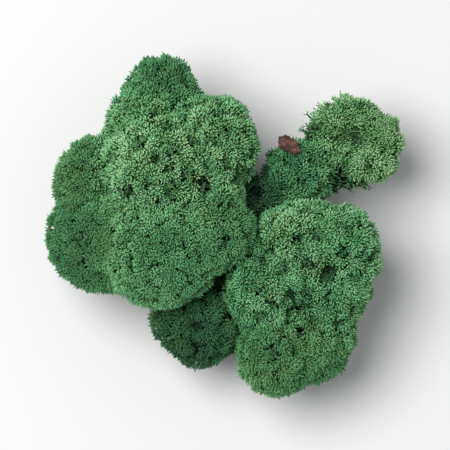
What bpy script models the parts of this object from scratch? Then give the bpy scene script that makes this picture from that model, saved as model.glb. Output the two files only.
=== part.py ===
"""Reindeer moss clump, built podetium by podetium.

A podetium is one grown stem of the lichen: a thin stalk with side branchlets that
swells into a rounded head. The head is covered with whorls, small stars of three
tips round a hole. All the stalks fan out from a narrow foot, as they do on a clump
pulled from the ground, and the heads press against each other into one cushion.

Units are metres and +Z is up. The clump rests on its stalk ends at z = 0, with the
middle of the cushion over the origin and +Y towards the top of the photograph.
"""
import math
import random

import bmesh
import bpy
from mathutils import Vector

MM = 0.001
SEED = 41

# Every stalk aims at this point under the table, so that the feet stay close together.
APEX = Vector((0.0, 0.0, -42.0 * MM))

# Half of the clearance between two podetia that lean on each other.
HALF_GAP = 0.16 * MM

# Head centre x, y, z and radius in millimetres, from the top view in the photograph,
# and the cushion that the head is part of.
PODETIA = {
    "podetium_01": (-11.0, 29.2, 25.5, 7.8, "dome"),
    "podetium_02": (-14.2, 21.8, 26.5, 8.6, "dome"),
    "podetium_03": (-25.4, 10.8, 24.0, 8.6, "dome"),
    "podetium_04": (-24.8, -2.2, 24.5, 11.0, "dome"),
    "podetium_05": (-12.0, 12.0, 32.5, 12.8, "dome"),
    "podetium_06": (-0.6, 17.4, 30.0, 10.6, "dome"),
    "podetium_07": (-11.6, -4.8, 31.5, 12.6, "dome"),
    "podetium_08": (0.0, 0.0, 33.0, 8.6, "dome"),
    "podetium_09": (10.2, -12.2, 28.0, 9.4, "right"),
    "podetium_10": (24.4, -4.2, 25.5, 11.2, "right"),
    "podetium_11": (15.6, -2.8, 29.0, 9.2, "right"),
    "podetium_12": (22.8, -13.8, 24.5, 9.4, "right"),
    "podetium_13": (12.8, -25.6, 22.5, 9.2, "right"),
    "podetium_14": (21.0, -22.8, 20.0, 8.4, "right"),
    "podetium_15": (-2.6, -18.4, 19.5, 10.6, "low"),
    "podetium_16": (18.0, 11.4, 21.0, 8.6, "link"),
    "podetium_17": (28.0, 22.0, 24.0, 8.0, "pale"),
    "podetium_18": (9.6, 5.4, 21.0, 7.6, "groove"),
    "podetium_19": (32.8, 17.4, 22.5, 7.4, "pale"),
}

# How softly the heads of one cushion run together: it fills the crevices between them.
BLEND = 3.0 * MM

# The relief of a whorl: how far grooves, bridges and the hole lie under the tips.
GROOVE = 2.5 * MM
BRIDGE = 1.2 * MM
HOLE = 2.9 * MM
WHORL_AREA = 16.4 * MM * MM

# Whorls stop where a neighbour's head lies over the surface by more than this.
COVER = 0.9 * MM

# The teardrop that a head narrows to where the stalk enters it.
TAIL = 1.9
NECK_ANGLE = math.radians(10.0)
SIDES = 6

FOOT_RADIUS = 1.7 * MM
STALK_STEP = 3.6 * MM
MOSS_GREEN = (0.054, 0.165, 0.058, 1.0)

# The flake of bark caught in the dark gap: how it lies on the head under it, in mm.
FLAKE_HOST = "podetium_16"
FLAKE_FACING = Vector((-0.30, 0.69, 0.66)).normalized()
FLAKE_LIFT = 0.78 * MM
FLAKE_THICK = 0.8 * MM
FLAKE_OUTLINE = ((-3.4, -0.9), (-1.2, -1.7), (2.4, -1.2), (3.6, 0.2), (1.0, 1.5), (-2.6, 1.1))
BARK_BROWN = (0.095, 0.036, 0.022, 1.0)


def clear_scene():
    for item in list(bpy.data.objects):
        bpy.data.objects.remove(item, do_unlink=True)


def axis_of(name):
    """Unit vector from the apex to a head, and the head's distance along it."""
    x, y, z = PODETIA[name][:3]
    reach = Vector((x, y, z)) * MM - APEX
    return reach.normalized(), reach.length


def half_angle(name):
    _, distance = axis_of(name)
    return math.asin(PODETIA[name][3] * MM / distance)


def cell_walls(name):
    """Normals of the planes through the apex that part this podetium from the others.

    The angle between two stalks is shared in the ratio of the sizes of their heads.
    """
    own, _ = axis_of(name)
    walls = []
    for other in PODETIA:
        if other == name:
            continue
        theirs, _ = axis_of(other)
        angle = own.angle(theirs)
        share = angle * half_angle(name) / (half_angle(name) + half_angle(other))
        across = (theirs - own * own.dot(theirs)).normalized()
        walls.append(across * math.cos(share) - own * math.sin(share))
    return walls


def room(walls, start, heading):
    """Distance from start along heading to the nearest wall, less the clearance."""
    nearest = 1.0
    for normal in walls:
        closing = normal.dot(heading)
        if closing > 1e-6:
            nearest = min(nearest, (-HALF_GAP - normal.dot(start - APEX)) / closing)
    return nearest


def frame_round(axis):
    side = axis.cross(Vector((0.31, 0.87, 0.38))).normalized()
    return side, axis.cross(side)


def head_directions(axis, radius, rng):
    """The neck ring first, then evenly spread directions over the rest of the head."""
    side, up = frame_round(axis)
    ring = []
    for k in range(SIDES):
        turn = 2.0 * math.pi * k / SIDES
        flat = side * math.cos(turn) + up * math.sin(turn)
        ring.append(-axis * math.cos(NECK_ANGLE) + flat * math.sin(NECK_ANGLE))
    count = round(2.0 * math.pi * radius ** 2 / WHORL_AREA) + 3
    lowest = -math.cos(NECK_ANGLE * 2.3)
    spread = []
    for k in range(count):
        height = 1.0 - (1.0 - lowest) * (k + 0.35) / count
        turn = k * math.pi * (3.0 - math.sqrt(5.0)) + rng.uniform(-0.16, 0.16)
        height = max(lowest, min(0.999, height + rng.uniform(-0.5, 0.5) / count))
        flat = side * math.cos(turn) + up * math.sin(turn)
        spread.append(axis * height + flat * math.sqrt(1.0 - height * height))
    return ring + spread


def lobes_of(axis, rng):
    """Directions of the low swellings that make a head lumpy like a cauliflower."""
    side, up = frame_round(axis)
    lobes = []
    for k in range(6):
        turn = 2.0 * math.pi * k / 6.0 + rng.uniform(-0.4, 0.4)
        tilt = rng.uniform(0.75, 1.35)
        flat = side * math.cos(turn) + up * math.sin(turn)
        lobes.append(axis * math.cos(tilt) + flat * math.sin(tilt))
    return lobes + [axis]


def head_radius(heading, axis, radius, lobes):
    """Teardrop radius: round above, a cone down to the neck, with the lobes added."""
    below = (-axis).angle(heading)
    half_cone = math.asin(1.0 / TAIL)
    tangent = math.pi / 2.0 - half_cone
    if below < tangent:
        return radius / math.cos(tangent - below)
    swelling = max((math.exp((heading.dot(lobe) - 1.0) * 9.0) for lobe in lobes), default=0.5)
    rise = min(1.0, (below - tangent) / 0.6)
    return radius * (1.0 + rise * (0.13 * swelling - 0.07))


def cushion_reach(name, heading, own, limit):
    """How far the head reaches once the crevices to the rest of its cushion are filled."""
    axis, distance = axis_of(name)
    centre = APEX + axis * distance
    kin = [n for n in PODETIA if n != name and PODETIA[n][4] == PODETIA[name][4]]
    rise = max(0.0, min(1.0, (axis.dot(heading) + 0.35) / 0.7))
    reach = own
    for _ in range(6):
        closeness = math.exp((own - reach) / BLEND)
        for other in kin:
            their_axis, their_distance = axis_of(other)
            apart = (centre + heading * reach - APEX - their_axis * their_distance).length
            closeness += math.exp((PODETIA[other][3] * MM - apart) / BLEND)
        reach = min(reach + BLEND * math.log(closeness), limit)
    return own + (max(reach, own) - own) * rise


def is_covered(name, place):
    """True where another head lies well over this place on a head's surface."""
    for other in PODETIA:
        axis, distance = axis_of(other)
        reach = place - (APEX + axis * distance)
        surface = head_radius(reach.normalized(), axis, PODETIA[other][3] * MM, [])
        if other != name and reach.length < surface - COVER:
            return True
    return False


def hull_faces(directions):
    """Triangles between neighbouring directions, without the open neck."""
    shell = bmesh.new()
    for index, heading in enumerate(directions):
        shell.verts.new(heading).index = index
    number = {vert: index for index, vert in enumerate(shell.verts)}
    bmesh.ops.convex_hull(shell, input=list(shell.verts))
    bmesh.ops.triangulate(shell, faces=list(shell.faces))
    faces = []
    for face in shell.faces:
        corners = [number[vert] for vert in face.verts]
        if min(corners) >= SIDES or max(corners) >= SIDES:
            middle = sum((directions[c] for c in corners), Vector())
            if face.normal.dot(middle) < 0.0:
                corners.reverse()
            faces.append(corners)
    shell.free()
    return faces


def add_head(mesh, name, walls, rng):
    """Adds the head to the mesh and returns the vertices of the open neck ring."""
    axis, distance = axis_of(name)
    radius = PODETIA[name][3] * MM
    centre = APEX + axis * distance
    lobes = lobes_of(axis, rng)
    directions = head_directions(axis, radius, rng)

    def reach(heading):
        limit = room(walls, centre, heading)
        full = head_radius(heading, axis, radius, lobes)
        return min(cushion_reach(name, heading, full, limit), limit)

    def point(heading, depth):
        height = min(reach(heading) - depth, room(walls, centre, heading))
        return mesh.verts.new(centre + heading * max(height, 0.8 * MM))

    def is_plain(heading):
        return axis.dot(heading) < -0.78 or is_covered(name, centre + heading * reach(heading))

    corners = []
    for index, heading in enumerate(directions):
        low = index < SIDES or is_plain(heading)
        corners.append(point(heading, 0.0 if low else GROOVE * rng.uniform(0.85, 1.1)))

    for a, b, c in hull_faces(directions):
        middle = (directions[a] + directions[b] + directions[c]).normalized()
        if is_plain(middle) or min(a, b, c) < SIDES:
            mesh.faces.new((corners[a], corners[b], corners[c]))
        else:
            add_whorl(mesh, point, directions, corners, (a, b, c), rng)
    return corners[:SIDES]


def add_whorl(mesh, point, directions, corners, face, rng):
    """A star of three tips, joined by low bridges round a hole, on one triangle."""
    def blend(weights):
        mix = sum((directions[k] * w for k, w in zip(face, weights)), Vector())
        return mix.normalized()

    hole = point(blend((1.0, 1.0, 1.0)), HOLE)
    tips, bridges = [], []
    for k in range(3):
        weights = [0.19, 0.19, 0.19]
        weights[k] = 0.62
        tips.append(point(blend(weights), rng.uniform(-0.5, 0.4) * MM))
        weights = [0.44, 0.44, 0.44]
        weights[(k + 2) % 3] = 0.12
        bridges.append(point(blend(weights), BRIDGE * rng.uniform(0.8, 1.2)))
    for k in range(3):
        after = (k + 1) % 3
        near, far = corners[face[k]], corners[face[after]]
        mesh.faces.new((near, far, bridges[k]))
        mesh.faces.new((near, bridges[k], tips[k]))
        mesh.faces.new((far, tips[after], bridges[k]))
        mesh.faces.new((tips[k], bridges[k], hole))
        mesh.faces.new((bridges[k], tips[after], hole))


def add_stalk(mesh, name, walls, neck, rng):
    """A tapering stalk from the neck to its flat foot, with pointed side branchlets."""
    axis, _ = axis_of(name)
    side, up = frame_round(axis)
    top = sum((vert.co for vert in neck), Vector()) / SIDES
    foot = APEX + axis * (-APEX.z / axis.z)
    neck_radius = (neck[0].co - top).length
    length = (top - foot).length
    steps = max(3, round(length / STALK_STEP))
    sway = rng.uniform(0.0, 2.0 * math.pi)

    rings = [neck]
    for step in range(1, steps + 1):
        down = step / steps
        girth = neck_radius * (1.0 - down) ** 1.4 + FOOT_RADIUS * (1.0 - (1.0 - down) ** 1.4)
        girth *= 1.0 if step == steps else rng.uniform(0.86, 1.1)
        bow = 0.5 * MM * math.sin(math.pi * down)
        middle = top.lerp(foot, down) + (side * math.cos(sway) + up * math.sin(sway)) * bow
        ring = []
        for k in range(SIDES):
            turn = 2.0 * math.pi * k / SIDES
            flat = side * math.cos(turn) + up * math.sin(turn)
            if step == steps:
                flat = Vector((flat.x, flat.y, 0.0)).normalized()
            reach = min(girth, room(walls, middle, flat))
            ring.append(mesh.verts.new(middle + flat * reach))
        rings.append(ring)

    for step in range(steps):
        above, below = rings[step], rings[step + 1]
        for k in range(SIDES):
            after = (k + 1) % SIDES
            quad = (above[k], below[k], below[after], above[after])
            if 0 < step < steps - 1 and (k + step * 2) % 3 == 0:
                add_branchlet(mesh, walls, quad, axis, rng)
            else:
                mesh.faces.new((quad[0], quad[1], quad[2]))
                mesh.faces.new((quad[0], quad[2], quad[3]))
    for k in range(1, SIDES - 1):
        mesh.faces.new((rings[-1][0], rings[-1][k + 1], rings[-1][k]))


def add_branchlet(mesh, walls, quad, axis, rng):
    """A four-sided point that leans upwards out of one side of the stalk."""
    middle = sum((vert.co for vert in quad), Vector()) / 4.0
    outward = (quad[2].co - quad[0].co).cross(quad[3].co - quad[1].co).normalized()
    heading = (outward + axis * 0.55).normalized()
    reach = min(rng.uniform(2.0, 3.2) * MM, room(walls, middle, heading))
    tip = mesh.verts.new(middle + heading * reach)
    for k in range(4):
        mesh.faces.new((quad[k], quad[(k + 1) % 4], tip))


def build_flake():
    """A flat, angular chip of bark, lying along the upper side of its host head."""
    axis, distance = axis_of(FLAKE_HOST)
    lift = PODETIA[FLAKE_HOST][3] * MM + FLAKE_LIFT
    middle = APEX + axis * distance + FLAKE_FACING * lift
    side, up = frame_round(FLAKE_FACING)
    mesh = bmesh.new()
    levels = []
    for face in (-0.5, 0.5):
        rim = [middle + (side * x + up * y) * MM + FLAKE_FACING * (FLAKE_THICK * face)
               for x, y in FLAKE_OUTLINE]
        levels.append([mesh.verts.new(place) for place in rim])
    under, over = levels
    mesh.faces.new(list(reversed(under)))
    mesh.faces.new(over)
    for k in range(len(under)):
        after = (k + 1) % len(under)
        mesh.faces.new((under[k], under[after], over[after], over[k]))
    bmesh.ops.triangulate(mesh, faces=list(mesh.faces))
    return finish_object("bark_flake", mesh, BARK_BROWN)


def finish_object(name, mesh, colour):
    data = bpy.data.meshes.new(name)
    mesh.to_mesh(data)
    mesh.free()
    item = bpy.data.objects.new(name, data)
    bpy.context.scene.collection.objects.link(item)
    paint = bpy.data.materials.new(name + "_colour")
    paint.use_nodes = True
    shader = paint.node_tree.nodes["Principled BSDF"]
    shader.inputs["Base Color"].default_value = colour
    shader.inputs["Roughness"].default_value = 0.85
    data.materials.append(paint)
    return item


def build_podetium(name, rng):
    mesh = bmesh.new()
    walls = cell_walls(name)
    neck = add_head(mesh, name, walls, rng)
    add_stalk(mesh, name, walls, neck, rng)
    return finish_object(name, mesh, MOSS_GREEN)


def build_clump():
    clear_scene()
    for number, name in enumerate(PODETIA):
        build_podetium(name, random.Random(SEED + number))
    build_flake()


build_clump()
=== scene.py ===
# %% [markdown]
# # A clump of reindeer moss
#
# Reindeer moss is a lichen. It has no leaves. Each stem, called a podetium, forks
# again and again until it ends in hundreds of small stars of tips, and together the
# stars make a rounded head like a cauliflower. The clump is a bunch of such stems,
# dyed green and kept soft for decorations.
#
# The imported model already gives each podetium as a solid, in the right place and
# size. Here every solid is replaced by the open lace of branches that the real thing
# is made of. A displaced surface would be quicker, but light could not fall between
# the tips, and the dark holes between them are what one sees first.

# %% Load the model
import math

import bmesh
import bpy
import numpy as np
from mathutils import Matrix, Vector, noise
from mathutils.bvhtree import BVHTree


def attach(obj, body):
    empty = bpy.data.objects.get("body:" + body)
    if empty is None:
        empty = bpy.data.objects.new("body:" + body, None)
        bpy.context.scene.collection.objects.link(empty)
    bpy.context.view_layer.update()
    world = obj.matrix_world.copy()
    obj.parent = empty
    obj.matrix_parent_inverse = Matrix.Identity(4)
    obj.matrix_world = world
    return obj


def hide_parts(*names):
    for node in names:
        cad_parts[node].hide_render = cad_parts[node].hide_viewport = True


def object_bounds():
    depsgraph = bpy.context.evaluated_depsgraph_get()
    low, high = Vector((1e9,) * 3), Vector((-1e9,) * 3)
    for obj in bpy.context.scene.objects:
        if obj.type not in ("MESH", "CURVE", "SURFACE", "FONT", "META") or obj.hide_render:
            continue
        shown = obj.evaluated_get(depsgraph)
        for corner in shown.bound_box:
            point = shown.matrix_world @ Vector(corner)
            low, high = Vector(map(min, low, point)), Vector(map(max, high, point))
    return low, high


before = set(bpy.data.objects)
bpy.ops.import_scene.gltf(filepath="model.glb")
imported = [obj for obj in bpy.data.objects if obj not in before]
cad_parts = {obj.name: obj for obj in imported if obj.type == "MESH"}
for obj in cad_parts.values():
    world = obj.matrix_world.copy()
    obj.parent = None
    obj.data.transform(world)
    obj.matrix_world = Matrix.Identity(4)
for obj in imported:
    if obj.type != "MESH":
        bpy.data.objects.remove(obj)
cad_low, cad_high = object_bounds()
MM = 0.001
print("model box in mm:", [round((b - a) / MM, 1) for a, b in zip(cad_low, cad_high)])

# %% [markdown]
# ## Where the heads are
#
# All the stalks point at one place under the table, as stems do that grew from one
# small patch. Each row is the middle of a head and its radius, in millimetres, and
# then three numbers from 0 to 1 for its look. The first is how yellow it is, because
# the dye takes less where the lichen was pale. The second is how open its lace is:
# young heads are dense as velvet, old ones are full of holes. The third is how light
# its tips are. This is partly their own tone and partly painted light and shade:
# heads that lie low in shadow are darker, and the lit crest is palest.

# %% Heads of the podetia
APEX = np.array([0.0, 0.0, -42.0]) * MM
HEADS = {
    "podetium_01": (-11.0, 29.2, 25.5, 7.8, 0.22, 0.60, 0.71),
    "podetium_02": (-14.2, 21.8, 26.5, 8.6, 0.28, 0.95, 0.81),
    "podetium_03": (-25.4, 10.8, 24.0, 8.6, 0.56, 0.08, 0.74),
    "podetium_04": (-24.8, -2.2, 24.5, 11.0, 0.40, 0.05, 0.72),
    "podetium_05": (-12.0, 12.0, 32.5, 12.8, 0.56, 1.00, 1.00),
    "podetium_06": (-0.6, 17.4, 30.0, 10.6, 0.46, 0.95, 0.92),
    "podetium_07": (-11.6, -4.8, 31.5, 12.6, 0.42, 0.16, 0.96),
    "podetium_08": (0.0, 0.0, 33.0, 8.6, 0.40, 0.60, 0.82),
    "podetium_09": (10.2, -12.2, 28.0, 9.4, 0.30, 0.70, 0.94),
    "podetium_10": (24.4, -4.2, 25.5, 11.2, 0.40, 0.75, 0.99),
    "podetium_11": (15.6, -2.8, 29.0, 9.2, 0.46, 1.00, 0.98),
    "podetium_12": (22.8, -13.8, 24.5, 9.4, 0.34, 0.90, 0.92),
    "podetium_13": (12.8, -25.6, 22.5, 9.2, 0.56, 0.45, 0.84),
    "podetium_14": (21.0, -22.8, 20.0, 8.4, 0.36, 0.25, 0.83),
    "podetium_15": (-2.6, -18.4, 19.5, 10.6, 0.36, 0.60, 0.46),
    "podetium_16": (18.0, 11.4, 21.0, 8.6, 0.12, 0.80, 0.85),
    "podetium_17": (28.0, 22.0, 24.0, 8.0, 0.66, 1.00, 0.90),
    "podetium_18": (9.6, 5.4, 21.0, 7.6, 0.28, 0.60, 0.16),
    "podetium_19": (32.8, 17.4, 22.5, 7.4, 0.96, 1.00, 0.97),
}
CUSHIONS = (range(1, 9), range(9, 15), (17, 19))


def unit(v):
    return v / np.linalg.norm(v, axis=-1, keepdims=True)


def sides_of(axis):
    """Two directions square to each axis."""
    helper = np.where(np.abs(axis[..., :1]) > 0.8, [[0.0, 1.0, 0.0]], [[1.0, 0.0, 0.0]])
    side = unit(np.cross(axis, helper))
    return side, np.cross(axis, side)


def head_of(name):
    """Middle of a head, its axis away from the apex, and its radius."""
    centre = np.array(HEADS[name][:3]) * MM
    return centre, unit(centre - APEX), HEADS[name][3] * MM


print(len(HEADS), "heads, radii", min(h[3] for h in HEADS.values()), "to",
      max(h[3] for h in HEADS.values()), "mm")

# %% [markdown]
# ## The outer surface of a head
#
# The tips end on the surface of the solid. Rays sent out from the middle of the head
# find it. The solid has a coarse relief of its own, so each distance is averaged
# over its neighbours, with the greater ones counting most. The heads of one cushion
# have grown together. On top the lace bridges the crease between them, on the common
# round that their spheres would melt into, and down the sides the crease stays open.
# Every place also gets a share, from 1 where the head stands alone to 0 where it is
# pressed against another and nothing shows.
#
# A real head is never a clean ball. It swells in low mounds, and slow noise gives
# them without a pattern that the eye could find. The lace also rises a little under
# the bark flake, so that the flake lies in the tips and doesn't hover over them.

# %% Measure the heads
MEASURED = 2400
STALK_SIDE = -0.975
SMOOTHING = math.cos(0.20)
LIFT = 10.0
TIP_RISE = 0.9 * MM
BLEND = 1.9 * MM
MELT_STEPS = 8
MOST_REACH = 1.35
PRESSED_SINK = 0.3 * MM
MOUND = 1.5 * MM
MOUND_SCALE = 140.0
NEST = 1.0 * MM
NEST_WIDTH = 3.4 * MM
FLAKE_MIDDLE = np.mean([v.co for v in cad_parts["bark_flake"].data.vertices], axis=0)
OUTER_SHARE = 0.24
UNDER_SHARE = 0.10


def tree_of(names):
    """One search tree over the triangles of several nodes."""
    places, faces = [], []
    for name in names:
        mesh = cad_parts[name].data
        start = len(places)
        places += [v.co.copy() for v in mesh.vertices]
        faces += [[start + v for v in p.vertices] for p in mesh.polygons]
    return BVHTree.FromPolygons(places, faces)


def spread_directions(count, rng):
    k = np.arange(count) + 0.5
    height = 1.0 - 2.0 * k / count
    turn = k * math.pi * (3.0 - math.sqrt(5.0))
    flat = np.sqrt(1.0 - height ** 2)
    heading = np.stack([flat * np.cos(turn), flat * np.sin(turn), height], 1)
    return unit(heading + rng.normal(0.0, 0.5 / math.sqrt(count), heading.shape))


def split_others(name):
    """The heads that share a cushion with this one, and all the rest."""
    number = int(name[-2:])
    mine = next((c for c in CUSHIONS if number in c), ())
    kin = [n for n in HEADS if n != name and int(n[-2:]) in mine]
    return kin, [n for n in HEADS if n != name and n not in kin]


def weight_of(names, place):
    """How much some heads fill a place: 1 on the surface of one, more inside it."""
    heads = [head_of(n) for n in names]
    return sum(np.exp((r - np.linalg.norm(place - c, axis=1)) / BLEND) for c, _, r in heads)


def shared_reach(name, heading):
    """Reach to the rounded outside of the whole cushion, and this head's share there."""
    centre, _, radius = head_of(name)
    kin, others = split_others(name)
    reach = np.full(len(heading), radius)
    for _ in range(MELT_STEPS):
        place = centre + heading * reach[:, None]
        own = np.exp((radius - reach) / BLEND)
        rest = weight_of(kin, place)
        reach = np.minimum(reach + BLEND * np.log(own + rest), MOST_REACH * radius)
    return reach, own / (own + rest + weight_of(others, place))


def measure_head(name, rng):
    """Directions from the middle of a head, the smooth reach along each, and its share."""
    centre, axis, radius = head_of(name)
    solid = tree_of([name])
    heading = spread_directions(MEASURED, rng)
    heading = heading[heading @ axis > STALK_SIDE]
    found = [solid.ray_cast(Vector(centre), Vector(h))[3] for h in heading]
    reach = np.array([r if r else radius for r in found])
    near = heading @ heading.T > SMOOTHING
    reach = (near @ reach ** LIFT / near.sum(1)) ** (1.0 / LIFT) + TIP_RISE

    shared, share = shared_reach(name, heading)
    rise = np.interp(heading[:, 2], (-0.5, 0.0, 0.5), (0.0, 0.5, 1.0))
    joint = radius + (shared - radius) * rise
    outside = share > UNDER_SHARE
    reach = np.where(outside, np.maximum(reach, joint), reach - TIP_RISE - PRESSED_SINK)
    surface = centre + heading * reach[:, None]
    mounds = np.array([noise.noise(Vector(p) * MOUND_SCALE) for p in surface])
    mounds *= MOUND * (0.4 + 0.6 * HEADS[name][5])
    away = np.linalg.norm(surface - FLAKE_MIDDLE, axis=1) / NEST_WIDTH
    mounds += NEST * np.exp(-away ** 2)
    return heading, reach + np.where(outside, mounds, 0.0), share


def places_on(name, measured, spacing, rng):
    """Many directions over a head, about spacing apart, with reach and share."""
    _, axis, radius = head_of(name)
    heading, reach, share = measured
    fine = spread_directions(int(4.0 * math.pi * (radius / spacing) ** 2), rng)
    fine = fine[fine @ axis > STALK_SIDE]
    near = (fine.astype(np.float32) @ heading.astype(np.float32).T).argmax(1)
    return fine, reach[near], share[near]


heading, reach, share = measure_head("podetium_05", np.random.default_rng(1))
print("podetium_05 reaches", round(reach.min() / MM, 1), "to", round(reach.max() / MM, 1),
      "mm and shows on", round(100 * (share > OUTER_SHARE).mean()), "% of its round")

# %% [markdown]
# ## Even but natural spacing
#
# Stars of tips keep clear of each other, but they don't stand in rows. Throwing
# points at random and keeping only those that have room gives just that. The rule
# serves three times on a head: for the tufts that it is parted into, for the holes of
# the lace, and for the stars, which keep out of the holes and so line up into the
# ridges of a net.

# %% Spacing rule
def scatter(places, gaps, rng):
    """Indices of places, in a random order, each at least its gap from those before it."""
    gaps = np.broadcast_to(gaps, len(places))
    kept = []
    chosen = np.empty_like(places)
    for k in rng.permutation(len(places)):
        used = chosen[:len(kept)]
        if not kept or ((used - places[k]) ** 2).sum(1).min() > gaps[k] ** 2:
            chosen[len(kept)] = places[k]
            kept.append(k)
    return np.array(kept, int)


sample = unit(np.random.default_rng(2).normal(size=(800, 3)))
print("of 800 places on a ball,", len(scatter(sample, 0.3, np.random.default_rng(3))),
      "are kept at 0.3 apart")

# %% [markdown]
# ## Limbs
#
# Every branch is a slim tapering tube along a short bent path. Thousands are needed,
# so they are built as arrays, all at once, rather than one object at a time. Each
# vertex also carries two numbers for the colour: how far out it sits, from the stalk
# (0) to the tips (1), lowered for painted shade and raised for painted light, and the
# tone of its limb. They are stored as a texture map.

# %% Tapering tubes
TONE_WIDTH = 0.012


def tubes(paths, girths, depths, tones, sides, pointed):
    """Closed limbs. paths is (n, k, 3), girths and depths are (n, k), tones is (n,)."""
    count, steps = paths.shape[:2]
    side, up = sides_of(unit(paths[:, -1] - paths[:, 0]))
    turn = np.arange(sides) * 2.0 * math.pi / sides
    ring = side[:, None] * np.cos(turn)[:, None] + up[:, None] * np.sin(turn)[:, None]
    rings = steps - 1 if pointed else steps
    verts = paths[:, :rings, None] + ring[:, None] * girths[:, :rings, None, None]
    verts = verts.reshape(count, -1, 3)
    depth = np.repeat(depths[:, :rings], sides, 1)
    tone = tones[:, None] + np.tile(np.arange(sides) * TONE_WIDTH / sides, rings)
    if pointed:
        verts = np.concatenate([verts, paths[:, -1:]], 1)
        depth = np.concatenate([depth, depths[:, -1:]], 1)
        tone = np.concatenate([tone, tones[:, None] + TONE_WIDTH / 2], 1)

    faces = []
    for r in range(rings - 1):
        for k in range(sides):
            a, b = r * sides + k, r * sides + (k + 1) % sides
            faces += [(a, b, b + sides), (a, b + sides, a + sides)]
    last = (rings - 1) * sides
    for k in range(1, sides - 1):
        faces.append((0, k + 1, k))
        if not pointed:
            faces.append((last, last + k, last + k + 1))
    if pointed:
        faces += [(last + k, last + (k + 1) % sides, last + sides) for k in range(sides)]
    faces = np.array(faces)[None] + (np.arange(count) * verts.shape[1])[:, None, None]
    marks = np.stack([depth, tone], 2)
    return verts.reshape(-1, 3), faces.reshape(-1, 3), marks.reshape(-1, 2)


def bent(start, end, bow, steps):
    """Paths from start to end that bulge by bow in the middle."""
    t = np.linspace(0.0, 1.0, steps)[None, :, None]
    return start[:, None] * (1.0 - t) + end[:, None] * t + bow[:, None] * 4.0 * t * (1.0 - t)


def taper(count, *values):
    return np.tile(np.array(values), (count, 1))


def buds(paths, girths, depths, tones):
    """Blunt tips: pointed at both ends, thickest at the middle place of each path."""
    count = len(paths)
    side, up = sides_of(unit(paths[:, 2] - paths[:, 0]))
    turn = np.arange(3) * 2.0 * math.pi / 3.0
    ring = side[:, None] * np.cos(turn)[:, None] + up[:, None] * np.sin(turn)[:, None]
    ring = paths[:, 1:2] + ring * girths[:, None, None]
    verts = np.concatenate([paths[:, :1], ring, paths[:, 2:]], 1)
    depth = depths[:, [0, 1, 1, 1, 2]]
    tone = tones[:, None] + TONE_WIDTH * np.array([[0.5, 0.0, 0.33, 0.67, 0.5]])
    faces = [(0, 2, 1), (0, 3, 2), (0, 1, 3), (1, 2, 4), (2, 3, 4), (3, 1, 4)]
    faces = np.array(faces)[None] + (np.arange(count) * 5)[:, None, None]
    return verts.reshape(-1, 3), faces.reshape(-1, 3), np.stack([depth, tone], 2).reshape(-1, 2)


one = buds(np.array([[[0.0, 0, 0], [0, 0, 1], [0, 0, 2]]]), np.array([0.1]), taper(1, 0, 0.5, 1),
           np.array([0.5]))
print("a tip is", len(one[1]), "triangles")

# %% [markdown]
# ## Stars of tips
#
# At its end a branch opens into a whorl: three to six short tips round a hole,
# curving outwards and then up. They are the palest and finest part of the lichen. A
# cone that runs to a sharp point looks like a conifer's needle, so the tips that show
# are blunt: pointed at both ends, thickest at the middle and bent there, in only six
# triangles. Deeper down, plain pointed tubes do. The length of a tip is the size of
# its star, and all the rest is in proportion to that.

# %% Whorls
TIP_GIRTH = 0.28
BUD_GIRTH = 0.22


def whorls(middles, axes, sizes, tones, depths, tips, rng, blunt=True):
    """Tips round each middle, and the forks that they spring from."""
    count = len(middles)
    forks = middles - axes * sizes[:, None]
    side, up = sides_of(axes)
    spin = rng.uniform(0.0, 2.0 * math.pi, count)
    parts = []
    for k in range(tips):
        turn = spin + 2.0 * math.pi * (k + rng.uniform(-0.2, 0.2, count)) / tips
        out = side * np.cos(turn)[:, None] + up * np.sin(turn)[:, None]
        length = (sizes * rng.uniform(0.8, 1.2, count))[:, None]
        rise = rng.uniform(0.65, 1.25, count)[:, None]
        ends = forks + (out * 0.85 + axes * rise) * length
        shades = tones + rng.uniform(-0.05, 0.05, count)
        if blunt:
            bends = forks + (out * 0.68 + axes * rise * 0.50) * length
            path = np.stack([forks - axes * 0.1 * length, bends, ends], 1)
            bend_depth = depths[:, 0] * 0.35 + depths[:, 1] * 0.65
            marks = np.stack([depths[:, 0], bend_depth, depths[:, 1]], 1)
            parts.append(buds(path, sizes * BUD_GIRTH, marks, shades))
        else:
            path = np.stack([forks - axes * 0.1 * length, ends], 1)
            girths = sizes[:, None] * np.array([[TIP_GIRTH, 0.0]])
            parts.append(tubes(path, girths, depths, shades, 3, True))
    return forks, parts
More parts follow.
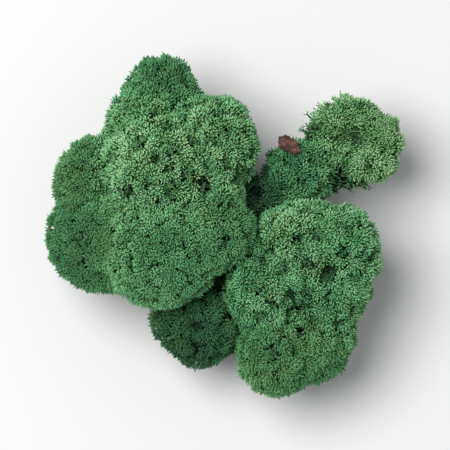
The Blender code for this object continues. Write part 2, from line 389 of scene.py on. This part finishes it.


# %% [markdown]
# ## From the stalk to the stars
#
# A head is grown from the outside in. First the outer stars are placed on the net,
# and coarser ones under them, coloured darker as painted shade, which close the floor
# of every hole. Then come the branches that carry them a few millimetres deeper, each
# serving the stars nearest to it, and those start at the stalk, lower down than they
# end, because the lichen only grows outwards and up. A rough core fills the middle,
# where the real branches are too crowded for light to pass, and its dark colour is
# painted shade.
#
# Stars sink a little towards the edge of their tuft, and more in a few large hollows,
# and in both places their colour is darkened as painted shade.
# The places of the hollows are given one by one, because the eye knows this clump by them. The
# look runs over from each head to the next, so that no seam shows, and in
# old heads a few limbs are paler than the rest.

# %% Sizes of the lace
HOLE_GAP = 4.4 * MM
HOLE_RADIUS = 1.85 * MM
RIM_SINK = 0.8 * MM
TUFT_GAP = (3.2 * MM, 5.6 * MM)
TUFT_SINK = 0.9 * MM
STAR_GAPS = (0.72 * MM, 0.92 * MM)
STAR_SIZES = (0.72 * MM, 0.92 * MM)
UNDER_DEPTH = (1.5 * MM, 3.4 * MM)
UNDER_GAP = 1.22 * MM
UNDER_SIZE = 1.15 * MM
LIMB_GAP = 2.8 * MM
LIMB_DEPTH = 3.6 * MM
CORE_DEPTH = 4.8 * MM
LOOK_BLEND = 2.2 * MM
TONE_SCALE = 110.0
OPEN_SCALE = 85.0
PATCH_SCALE = 300.0
HOLLOW_DEPTH = 2.4 * MM
HOLLOW_FLOOR = 18.0 * MM
HOLLOW_FADE = 6.0 * MM
HOLLOWS = [(22.3, -10.3, 3.0), (18.8, -8.2, 2.0), (17.6, -16.4, 2.2), (9.4, -6.0, 1.8),
           (11.4, -15.4, 1.7), (12.3, -26.4, 1.5), (-20.1, 6.5, 2.2), (-27.2, -2.9, 1.3),
           (-13.8, 13.4, 1.5), (-2.4, 9.2, 1.8), (-5.1, 17.8, 1.5), (-10.4, 30.6, 1.3),
           (-14.4, 4.0, 1.3), (28.8, 19.8, 2.5)]


def look_at(places):
    """Yellowness, openness and lightness, running over from each head to the next."""
    table = np.array(list(HEADS.values()))
    away = np.linalg.norm(places[:, None] - table[None, :, :3] * MM, axis=2) - table[:, 3] * MM
    weight = np.exp(-away / LOOK_BLEND)
    return (weight @ table[:, 4:]) / weight.sum(1, keepdims=True)


def tones_at(places, rng):
    """Tone of a limb: the yellowness there, drifting slowly, and some pale limbs."""
    yellow, openness, _ = look_at(places).T
    drift = np.array([noise.noise(Vector(p) * TONE_SCALE) for p in places])
    pale = 0.4 * (rng.random(len(places)) < 0.22 * openness)
    own = rng.uniform(-0.08, 0.08, len(places))
    return np.clip(yellow + 0.26 * drift + pale + own, 0.02, 0.96)


def openness_at(places):
    """From 0, dense as velvet, to 1, full of holes, changing slowly over the clump."""
    shift = Vector((3.0, 7.0, 1.0))
    drift = np.array([noise.noise(Vector(p) * OPEN_SCALE + shift) for p in places])
    return np.clip(look_at(places)[:, 1] * (1.0 + 0.6 * drift), 0.0, 1.0)


def hollow_at(places):
    """From 0 to 1 towards the bottom of the nearest large hollow."""
    pits = np.array(HOLLOWS) * MM
    away = np.linalg.norm(places[:, None, :2] - pits[None, :, :2], axis=2) / pits[None, :, 2]
    high = np.clip((places[:, 2] - HOLLOW_FLOOR) / HOLLOW_FADE, 0.0, 1.0)
    return np.exp(-away ** 2).max(1) * high


def stalk_starts(ends, name, slope):
    """Points on the stalk from which limbs reach up and out to their ends."""
    centre, axis, _ = head_of(name)
    foot = APEX + axis * (-APEX[2] / axis[2])
    along = (ends - foot) @ axis
    lateral = np.linalg.norm(ends - foot - along[:, None] * axis, axis=1)
    height = np.clip(along - slope * lateral, 2.0 * MM, (centre - foot) @ axis)
    return foot + height[:, None] * axis


def outer_stars(name, measured, rng):
    """Middles, growth, sizes and lightness of the stars that form the net, with painted light and
    shade in the lightness.
    """
    centre, axis, _ = head_of(name)
    fine, reach, share = places_on(name, measured, 0.42 * MM, rng)
    surface = centre + fine * reach[:, None]
    aside = np.clip((0.45 - fine[:, 2]) / 0.8, 0.0, 1.0)
    openness = np.maximum(openness_at(surface), aside)
    tufts = surface[scatter(surface, rng.uniform(*TUFT_GAP, len(surface)), rng)]
    apart = surface[:, None] - tufts[None]
    nearest = (apart ** 2).sum(2).argmin(1)
    apart = apart[np.arange(len(surface)), nearest]
    edge = np.minimum(np.linalg.norm(apart, axis=1) / (0.55 * TUFT_GAP[1]), 1.0) ** 2
    edge *= 0.15 + 0.85 * openness
    hollow = hollow_at(surface)
    surface = surface - fine * (TUFT_SINK * edge + HOLLOW_DEPTH * hollow)[:, None]
    low = np.clip((-0.05 - fine @ axis) / 0.7, 0.0, 1.0)
    holes = scatter(surface, HOLE_GAP, rng)
    radii = 0.3 * MM + HOLE_RADIUS * openness[holes] * rng.uniform(0.45, 1.25, len(holes))
    margin = (0.5 - hollow) * 4.0 * MM
    for hole, radius in zip(surface[holes], radii):
        margin = np.minimum(margin, np.linalg.norm(surface - hole, axis=1) - radius)
    shows = (share > OUTER_SHARE) | (rng.random(len(share)) < 0.04)
    ridge = np.flatnonzero((margin > 0.0) & shows)
    gaps = np.interp(openness[ridge], (0.0, 1.0), STAR_GAPS) * (1.0 + 0.9 * low[ridge])
    picked = ridge[scatter(surface[ridge], gaps, rng)]
    sizes = np.interp(openness[picked], (0.0, 1.0), STAR_SIZES)
    sizes *= rng.uniform(0.85, 1.15, len(picked))
    growth = unit(fine[picked] * 0.9 + axis * 0.3 + apart[picked] / TUFT_GAP[1] +
                  rng.normal(0.0, 0.16, (len(picked), 3)))
    sink = RIM_SINK * np.exp(-margin[picked] / (0.6 * MM))
    sink = sink + rng.uniform(0.0, 0.5, len(picked)) * MM
    middles = surface[picked] - growth * sink[:, None]
    patches = np.array([noise.noise(Vector(p) * PATCH_SCALE) for p in middles])
    # Painted light and shade: stars on the lower side of a head and at the edges of their tufts
    # get darker colour, and those of open heads paler. The slow patches are the lichen's own
    # uneven tone.
    light = look_at(middles)[:, 2] * (0.90 + 0.14 * openness[picked])
    light = light * (1.0 - 0.3 * low[picked])
    light *= (1.05 - 0.14 * edge[picked]) * (
        1.0 + 0.22 * patches * (0.5 + 0.5 * openness[picked]))
    return middles, growth, sizes, light * rng.uniform(0.92, 1.05, len(picked))


def under_stars(name, measured, rng):
    """Middles, growth, sizes and lightness of the coarser stars under the net, with painted shade
    in the hollows.
    """
    centre, axis, _ = head_of(name)
    fine, reach, share = places_on(name, measured, 0.7 * MM, rng)
    hollow = hollow_at(centre + fine * reach[:, None])
    depth = rng.uniform(*UNDER_DEPTH, len(fine)) + 1.5 * HOLLOW_DEPTH * hollow
    surface = centre + fine * np.maximum(reach - depth, 0.4 * reach)[:, None]
    stray = rng.random(len(share)) < 0.06
    wanted = np.flatnonzero((share > UNDER_SHARE) | (hollow > 0.1) | stray)
    picked = wanted[scatter(surface[wanted], UNDER_GAP * (1.0 - 0.4 * hollow[wanted]), rng)]
    growth = unit(fine[picked] * 0.9 + axis * 0.3 + rng.normal(0.0, 0.22, (len(picked), 3)))
    # Painted shade: under stars get darker colour towards the bottom of a large hollow.
    light = look_at(surface[picked])[:, 2] * (1.0 - 0.5 * hollow[picked])
    return surface[picked], growth, UNDER_SIZE * rng.uniform(0.85, 1.15, len(picked)), light


def grow_head(name, measured, rng):
    """All the stars of one head with the branches that carry them."""
    centre, axis, radius = head_of(name)
    heading, reach, _ = measured
    inner = centre + heading * np.maximum(reach - LIMB_DEPTH, 0.35 * reach)[:, None]
    limbs = inner[scatter(inner, LIMB_GAP, rng)]
    parts = []

    def carry(forks, growth, tones, girths, depths):
        wanted = forks - growth * 1.5 * MM
        near = ((wanted[:, None] - limbs[None]) ** 2).sum(2).argmin(1)
        path = np.stack([limbs[near], forks], 1)
        parts.append(tubes(path, taper(len(forks), *girths) * MM, taper(len(forks), *depths),
                           tones, 3, False))

    middles, growth, sizes, light = outer_stars(name, measured, rng)
    tones = tones_at(middles, rng)
    # Painted light and shade: the lightness of a star sets how far up the colour ramp its tips
    # reach.
    depths = np.minimum(light[:, None] * np.array([[0.68, 1.0]]), 0.99)
    forks, tips = whorls(middles, growth, sizes, tones, depths, 6, rng)
    parts += tips
    # Painted shade: the branches that carry the stars darken towards their deep ends.
    carry(forks, growth, tones, (0.26, 0.20), (0.34, 0.60))
    stars = len(middles)

    middles, growth, sizes, light = under_stars(name, measured, rng)
    tones = tones_at(middles, rng)
    # Painted shade: the under stars sit lower on the colour ramp than the net above them.
    depths = light[:, None] * np.array([[0.50, 0.74]])
    forks, tips = whorls(middles, growth, sizes, tones, depths, 5, rng, False)
    parts += tips
    carry(forks, growth, tones, (0.24, 0.22), (0.26, 0.40))

    # Painted shade: the branches from the stalk take the darkest part of the colour ramp.
    starts = stalk_starts(limbs, name, 0.85)
    out = limbs - starts
    parts.append(tubes(bent(starts, limbs, -0.10 * out * (out @ axis)[:, None] / radius, 4),
                       taper(len(limbs), 0.85, 0.64, 0.52, 0.44) * MM,
                       taper(len(limbs), 0.14, 0.24, 0.32, 0.38), tones_at(limbs, rng), 5, False))
    return parts, stars + len(middles)


# %% [markdown]
# ## Core and stems
#
# The core is a ball of faces pushed in and out by noise, well under the stars. Below
# the head the solid has one thick stalk. The real one is a bundle of wiry stems that
# lean on each other, part upwards like the ribs of a fan, and carry short forked
# twigs all the way. So each stalk is grown as such a bundle, cut flat at the table.
# A twig turns up, as the lichen grows, and is kept about as short as the room to the
# next podetium. Low down its tips are smaller and olive.

# %% Core, stems and twigs
STEMS = 11
STEM_STEPS = 9
TWIGS = 12
UPTURN = np.array([0.0, 0.0, 0.6])
FORK_RISE = 0.2
GREEN_HEIGHT = 22.0 * MM
LOWEST_TWIG = 1.2 * MM


def core_of(name, measured, rng):
    """The rough ball in the middle of a head, dark with painted shade."""
    centre, _, _ = head_of(name)
    heading, reach, share = measured
    shell = bmesh.new()
    bmesh.ops.create_icosphere(shell, subdivisions=4, radius=1.0)
    out = unit(np.array([v.co for v in shell.verts]))
    faces = np.array([[v.index for v in f.verts] for f in shell.faces])
    shell.free()
    near = (out @ heading.T).argmax(1)
    rough = np.array([noise.noise(Vector(o) * 5.5 + Vector(centre) * 90.0) +
                      0.7 * noise.noise(Vector(o) * 14.0) for o in out])
    depth = CORE_DEPTH * np.interp(share[near], (0.01, UNDER_SHARE), (0.3, 1.0))
    depth = depth * (1.0 + 0.25 * rough)
    depth += 2.2 * HOLLOW_DEPTH * hollow_at(centre + out * reach[near][:, None])
    depth += rng.normal(0.0, 0.3 * MM, len(out))
    size = np.maximum(reach[near] - depth, 0.4 * reach[near])
    # Painted shade: the core takes the darkest stops of the colour ramps.
    shade = 0.23 + 0.03 * rough + rng.normal(0.0, 0.05, len(out))
    marks = np.stack([shade, HEADS[name][4] + 0.1 * rough], 1)
    return centre + out * size[:, None], faces, np.clip(marks, 0.02, 0.98)


def along_stem(feet, knees, tops, t):
    """A place on each stem's smooth curve, from 0 at the foot to 1 in the head."""
    t = t[..., None]
    return feet * (1.0 - t) ** 2 + knees * 2.0 * t * (1.0 - t) + tops * t ** 2


def stems_of(name, measured, rng):
    """The bundle of stems, and the twigs in a spiral up each of them."""
    centre, axis, _ = head_of(name)
    heading, reach, _ = measured
    foot = APEX + axis * (-APEX[2] / axis[2])
    side, up = sides_of(axis[None])
    turn = 2.0 * math.pi * (np.arange(STEMS) + rng.uniform(-0.3, 0.3, STEMS)) / STEMS
    out = side * np.cos(turn)[:, None] + up * np.sin(turn)[:, None]
    lean = rng.uniform(-0.85, -0.15, STEMS)[:, None]
    aim = axis * lean + out * np.sqrt(1.0 - lean ** 2)
    tops = centre + aim * 0.8 * reach[(aim @ heading.T).argmax(1)][:, None]
    feet = foot + out * rng.uniform(0.4, 1.7, STEMS)[:, None] * MM - axis * 0.6 * MM
    rise = ((centre - foot) @ axis) * rng.uniform(0.35, 0.5, STEMS)[:, None]
    knees = foot + axis * rise + out * rng.uniform(0.8, 2.8, STEMS)[:, None] * MM
    t = np.tile(np.linspace(0.0, 1.0, STEM_STEPS), (STEMS, 1))
    paths = along_stem(feet[:, None], knees[:, None], tops[:, None], t)
    paths += rng.normal(0.0, 0.32, paths.shape) * MM * np.sin(math.pi * t)[..., None]
    girths = np.interp(t, (0, 1), (0.48, 0.36)) * MM
    # The pale brown foot is the stem's own colour. The darkening upwards to where it enters the
    # head is painted shade.
    depths = np.interp(t, (0, 1), (0.0, 0.26))
    parts = [tubes(paths, girths, depths, tones_at(tops, rng), 6, False)]

    stem = np.repeat(np.arange(STEMS), TWIGS)
    place = 0.85 * (np.tile(np.arange(TWIGS), STEMS) + rng.uniform(0.2, 0.9, len(stem))) / TWIGS
    starts = along_stem(feet[stem], knees[stem], tops[stem], place)
    aside = np.cross(axis, out[stem]) * rng.uniform(-1.0, 1.0, len(stem))[:, None]
    aim = unit(out[stem] * 0.5 + aside * 0.7 + axis * 0.6 + UPTURN +
               rng.normal(0.0, 0.2, starts.shape))
    return parts + twigs(name, starts, aim, place, rng)


def twigs(name, starts, aim, place, rng):
    """Forked twigs that end in small stars, greener the higher they stand."""
    others = tree_of([n for n in HEADS if n != name])
    hits = [others.ray_cast(Vector(s), Vector(a))[3] for s, a in zip(starts, aim)]
    room = np.array([h + 0.4 * MM if h else 1.0 for h in hits])
    length = rng.uniform(0.7, 1.2, len(aim))
    length = length * np.interp(place, (0.0, 0.7), (2.4, 6.0)) * MM
    length = np.maximum(np.minimum(length, room), 1.2 * MM)[:, None]
    ends = starts + aim * length
    centre, _, radius = head_of(name)
    begun = np.linalg.norm((starts - centre)[:, :2], axis=1)
    allowed = np.maximum(0.82 * radius, begun + 0.8 * MM)
    away = np.linalg.norm((ends - centre)[:, :2], axis=1)
    kept = np.minimum(1.0, allowed / away)[:, None]
    ends[:, :2] = centre[:2] + (ends - centre)[:, :2] * kept
    aim = unit(ends - starts)
    forked = [(starts, ends, 0.95, 4, (0.34, 0.28, 0.24))]
    for share, reach in ((0.35, 0.50), (0.65, 0.42)):
        halves = starts + aim * share * length
        spread = aim + rng.normal(0.0, 0.6, aim.shape)
        spread[:, 2] = np.maximum(spread[:, 2], FORK_RISE)
        sides = halves + unit(spread) * reach * length
        forked.append((halves, sides, 0.80, 3, (0.26, 0.22, 0.19)))
    parts = []
    for begin, end, size, tips, girths in forked:
        end[:, 2] = np.maximum(end[:, 2], LOWEST_TWIG)
        height = np.clip(end[:, 2] / GREEN_HEIGHT, 0.0, 1.0)[:, None]
        tones = np.minimum(tones_at(end, rng) + 0.4 * (1.0 - height[:, 0]), 0.96)
        growth = unit(end - begin + np.array([0.0, 0.0, 0.8 * MM]))
        sizes = size * MM * (0.6 + 0.4 * height[:, 0]) * rng.uniform(0.8, 1.15, len(end))
        depths = (0.57 + 0.24 * height) * np.array([[0.60, 1.0]])
        forks, stars = whorls(end, growth, sizes, tones, depths, tips, rng)
        parts += stars
        parts.append(tubes(bent(begin, forks, rng.normal(0.0, 0.12, end.shape) * MM, 3),
                           taper(len(end), *girths) * MM,
                           (0.20 + 0.20 * height) * np.array([[0.3, 0.7, 1.0]]), tones, 3, False))
    return parts


# %% [markdown]
# ## Colour
#
# The tips are the palest part, partly because the dye is strongest there, where the
# lichen is soft and pale, and partly as painted light. Inwards the colour falls to a
# dull dark green, which is painted shade, and then brown towards the old wood-like
# stalk. Two colour ramps run along that depth, one for bluish heads and one for
# yellow ones, and the tone of each limb blends them. The darkest stops are painted
# shade on the limbs deep under the tips, and the dead feet are paler again. The
# lichen is matt, most of all at the tips, with the faint sheen of a fine fuzz.

# %% Lichen material
def ramp(tree, stops):
    node = tree.nodes.new("ShaderNodeValToRGB")
    node.color_ramp.interpolation = "B_SPLINE"
    while len(node.color_ramp.elements) < len(stops):
        node.color_ramp.elements.new(0.5)
    for element, (place, colour) in zip(node.color_ramp.elements, stops):
        element.position = place
        element.color = (*colour, 1.0)
    return node


def lichen_material():
    paint = bpy.data.materials.new("dyed_lichen_painted_shade")
    paint.use_nodes = True
    tree = paint.node_tree
    shader = tree.nodes["Principled BSDF"]
    marks = tree.nodes.new("ShaderNodeUVMap")
    marks.uv_map = "OFBake"
    parted = tree.nodes.new("ShaderNodeSeparateXYZ")
    tree.links.new(marks.outputs["UV"], parted.inputs[0])
    # Painted shade: the stops darken from the tips inwards to the darkest at 0.19 to 0.25, and
    # the palest tips are partly painted light. The brown stops below 0.1 are the stalk's own
    # colour.
    emerald = ramp(tree, [(0.00, (0.150, 0.150, 0.095)), (0.09, (0.080, 0.115, 0.060)),
                          (0.19, (0.007, 0.022, 0.014)), (0.25, (0.007, 0.022, 0.014)),
                          (0.42, (0.030, 0.128, 0.063)),
                          (0.66, (0.063, 0.300, 0.127)), (0.86, (0.102, 0.478, 0.200)),
                          (1.00, (0.250, 0.680, 0.365))])
    yellow = ramp(tree, [(0.00, (0.170, 0.160, 0.095)), (0.09, (0.100, 0.120, 0.056)),
                         (0.19, (0.010, 0.022, 0.011)), (0.25, (0.010, 0.022, 0.011)),
                         (0.42, (0.060, 0.138, 0.046)),
                         (0.66, (0.155, 0.345, 0.116)), (0.86, (0.262, 0.525, 0.206)),
                         (1.00, (0.570, 0.810, 0.460))])
    blend = tree.nodes.new("ShaderNodeMix")
    blend.data_type = "RGBA"
    tree.links.new(parted.outputs["X"], emerald.inputs["Fac"])
    tree.links.new(parted.outputs["X"], yellow.inputs["Fac"])
    tree.links.new(parted.outputs["Y"], blend.inputs["Factor"])
    tree.links.new(emerald.outputs["Color"], blend.inputs["A"])
    tree.links.new(yellow.outputs["Color"], blend.inputs["B"])
    tree.links.new(blend.outputs["Result"], shader.inputs["Base Color"])
    dusty = tree.nodes.new("ShaderNodeMapRange")
    dusty.inputs["To Min"].default_value = 0.55
    dusty.inputs["To Max"].default_value = 0.90
    tree.links.new(parted.outputs["X"], dusty.inputs["Value"])
    tree.links.new(dusty.outputs["Result"], shader.inputs["Roughness"])
    shader.inputs["Specular IOR Level"].default_value = 0.14
    shader.inputs["Sheen Weight"].default_value = 0.07
    shader.inputs["Sheen Roughness"].default_value = 0.45
    shader.inputs["Sheen Tint"].default_value = (0.75, 1.0, 0.85, 1.0)
    return paint


lichen = lichen_material()
print("lichen material has", len(lichen.node_tree.nodes), "nodes")

# %% [markdown]
# ## Growing the clump
#
# Each podetium becomes one mesh, because it grew as one piece. It replaces its solid
# and rides on the clump's only body.

# %% Grow every podetium
def make_piece(name, parts):
    """One mesh of all the limbs, cut flat at the table, with its colour numbers."""
    starts = np.cumsum([0] + [len(p[0]) for p in parts])
    verts = np.concatenate([p[0] for p in parts])
    verts[:, 2] = np.maximum(verts[:, 2], 0.0)
    faces = np.concatenate([p[1] + s for p, s in zip(parts, starts)])
    marks = np.concatenate([p[2] for p in parts])
    mesh = bpy.data.meshes.new(name)
    mesh.from_pydata(verts.tolist(), [], faces.tolist())
    chart = mesh.uv_layers.new(name="OFBake")
    corners = np.empty(len(mesh.loops), np.int32)
    mesh.loops.foreach_get("vertex_index", corners)
    chart.data.foreach_set("uv", marks[corners].astype(np.float32).ravel())
    mesh.shade_smooth()
    piece = bpy.data.objects.new(name, mesh)
    bpy.context.scene.collection.objects.link(piece)
    return piece


FIRST_SEED = 500
triangles = 0
for number, name in enumerate(HEADS):
    rng = np.random.default_rng(FIRST_SEED + number)
    measured = measure_head(name, rng)
    parts, stars = grow_head(name, measured, rng)
    parts += stems_of(name, measured, rng) + [core_of(name, measured, rng)]
    piece = make_piece(name + "_lace", parts)
    piece.data.materials.append(lichen)
    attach(piece, "root")
    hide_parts(name)
    triangles += len(piece.data.polygons)
    print(name, stars, "stars,", len(piece.data.polygons), "triangles")
print("triangles in all:", triangles)

# %% [markdown]
# ## The bark flake
#
# A chip of red-brown bark from the forest floor is caught in the gap. The solid
# keeps its shape. Its faces are cut finer and pushed into shallow steps with ragged
# edges, as bark splits, and noise mottles the colour. Blender seeds its vector noise
# from the clock, so a seed is set first, or the flake would differ in every run.

# %% Bark flake
def bark_material():
    paint = bpy.data.materials.new("bark")
    paint.use_nodes = True
    tree = paint.node_tree
    shader = tree.nodes["Principled BSDF"]
    where = tree.nodes.new("ShaderNodeTexCoord")
    grain = tree.nodes.new("ShaderNodeTexNoise")
    grain.inputs["Scale"].default_value = 900.0
    grain.inputs["Detail"].default_value = 6.0
    tint = ramp(tree, [(0.30, (0.022, 0.012, 0.009)), (0.50, (0.085, 0.033, 0.024)),
                       (0.62, (0.130, 0.052, 0.036)), (0.80, (0.220, 0.150, 0.110))])
    tree.links.new(where.outputs["Object"], grain.inputs["Vector"])
    tree.links.new(grain.outputs["Fac"], tint.inputs["Fac"])
    tree.links.new(tint.outputs["Color"], shader.inputs["Base Color"])
    relief = tree.nodes.new("ShaderNodeBump")
    relief.inputs["Strength"].default_value = 0.5
    relief.inputs["Distance"].default_value = 0.1 * MM
    tree.links.new(grain.outputs["Fac"], relief.inputs["Height"])
    tree.links.new(relief.outputs["Normal"], shader.inputs["Normal"])
    shader.inputs["Roughness"].default_value = 0.85
    return paint


RAGGED_SCALE = 700.0
LAYER_SCALE = 420.0
GRAIN_SCALE = 2600.0
FLAKE_SEED = 1


def flake_piece():
    """The solid flake with finer faces, ragged and layered."""
    noise.seed_set(FLAKE_SEED)
    mesh = bmesh.new()
    mesh.from_mesh(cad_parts["bark_flake"].data)
    bmesh.ops.remove_doubles(mesh, verts=mesh.verts, dist=0.01 * MM)
    bmesh.ops.subdivide_edges(mesh, edges=mesh.edges, cuts=9, use_grid_fill=True)
    bmesh.ops.triangulate(mesh, faces=mesh.faces)
    mesh.normal_update()
    moves = []
    for vert in mesh.verts:
        ragged = noise.noise_vector(vert.co * RAGGED_SCALE) * 0.45
        layer = round(3.0 * noise.noise(vert.co * LAYER_SCALE)) * 0.12
        rough = 0.15 * noise.noise(vert.co * GRAIN_SCALE)
        moves.append((ragged + vert.normal * (layer + rough)) * MM)
    for vert, move in zip(mesh.verts, moves):
        vert.co += move
    data = bpy.data.meshes.new("bark_flake_rough")
    mesh.to_mesh(data)
    mesh.free()
    piece = bpy.data.objects.new("bark_flake_rough", data)
    bpy.context.scene.collection.objects.link(piece)
    data.materials.append(bark_material())
    return piece


flake = flake_piece()
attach(flake, "root")
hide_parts("bark_flake")
print("bark flake:", len(flake.data.polygons), "triangles")

# %% [markdown]
# ## Floor, light and camera
#
# The floor is plain and pale. The light is soft and comes from above, as it does in
# the photograph, where the tops are bright and the gaps fall dark at once. One broad
# lamp overhead does that, with a weak sky to fill the shadows.
#
# The camera looks almost straight down. The clump lay up and to the right of the
# middle of the picture, so the line of sight leans a few degrees to the lower left.

# %% Floor
def floor_material():
    paint = bpy.data.materials.new("pale_floor")
    paint.use_nodes = True
    shader = paint.node_tree.nodes["Principled BSDF"]
    shader.inputs["Base Color"].default_value = (0.80, 0.80, 0.79, 1.0)
    shader.inputs["Roughness"].default_value = 0.9
    return paint


floor_mesh = bpy.data.meshes.new("floor")
FLOOR_HALF = 1.5
corners = [(x * FLOOR_HALF, y * FLOOR_HALF, 0) for x, y in ((-1, -1), (1, -1), (1, 1), (-1, 1))]
floor_mesh.from_pydata(corners, [], [(0, 1, 2, 3)])
floor = bpy.data.objects.new("floor", floor_mesh)
bpy.context.scene.collection.objects.link(floor)
floor_mesh.materials.append(floor_material())

# %% Light
def lamp(name, place, aim, size, power):
    data = bpy.data.lights.new(name, "AREA")
    data.shape = "DISK"
    data.size = size
    data.energy = power
    item = bpy.data.objects.new(name, data)
    item.location = place
    item.rotation_euler = (Vector(aim) - Vector(place)).to_track_quat("-Z", "Y").to_euler()
    bpy.context.scene.collection.objects.link(item)
    return item


middle = (cad_low + cad_high) / 2
lamp("overhead", place=(-0.36, 0.12, 0.88), aim=middle, size=0.55, power=9.2)
world = bpy.data.worlds.new("studio")
bpy.context.scene.world = world
world.use_nodes = True
world.node_tree.nodes["Background"].inputs["Color"].default_value = (0.95, 0.97, 1.0, 1.0)
world.node_tree.nodes["Background"].inputs["Strength"].default_value = 0.36
bpy.context.scene.view_settings.view_transform = "Standard"

# %% Camera
FRAME_WIDTH = 0.094
CAMERA_OFFSET = Vector((-0.077, -0.058, 1.0))
camera = bpy.data.objects.new("camera", bpy.data.cameras.new("camera"))
bpy.context.scene.collection.objects.link(camera)
bpy.context.scene.camera = camera
camera.location = middle + CAMERA_OFFSET
forward = -CAMERA_OFFSET.normalized()
right = forward.cross(Vector((0.0, 1.0, 0.0))).normalized()
up = right.cross(forward)
camera.rotation_euler = Matrix((right, up, -forward)).transposed().to_euler()
camera.data.lens = camera.data.sensor_width * CAMERA_OFFSET.length / FRAME_WIDTH
camera.data.clip_end = 10.0
print("lens", round(camera.data.lens), "mm")
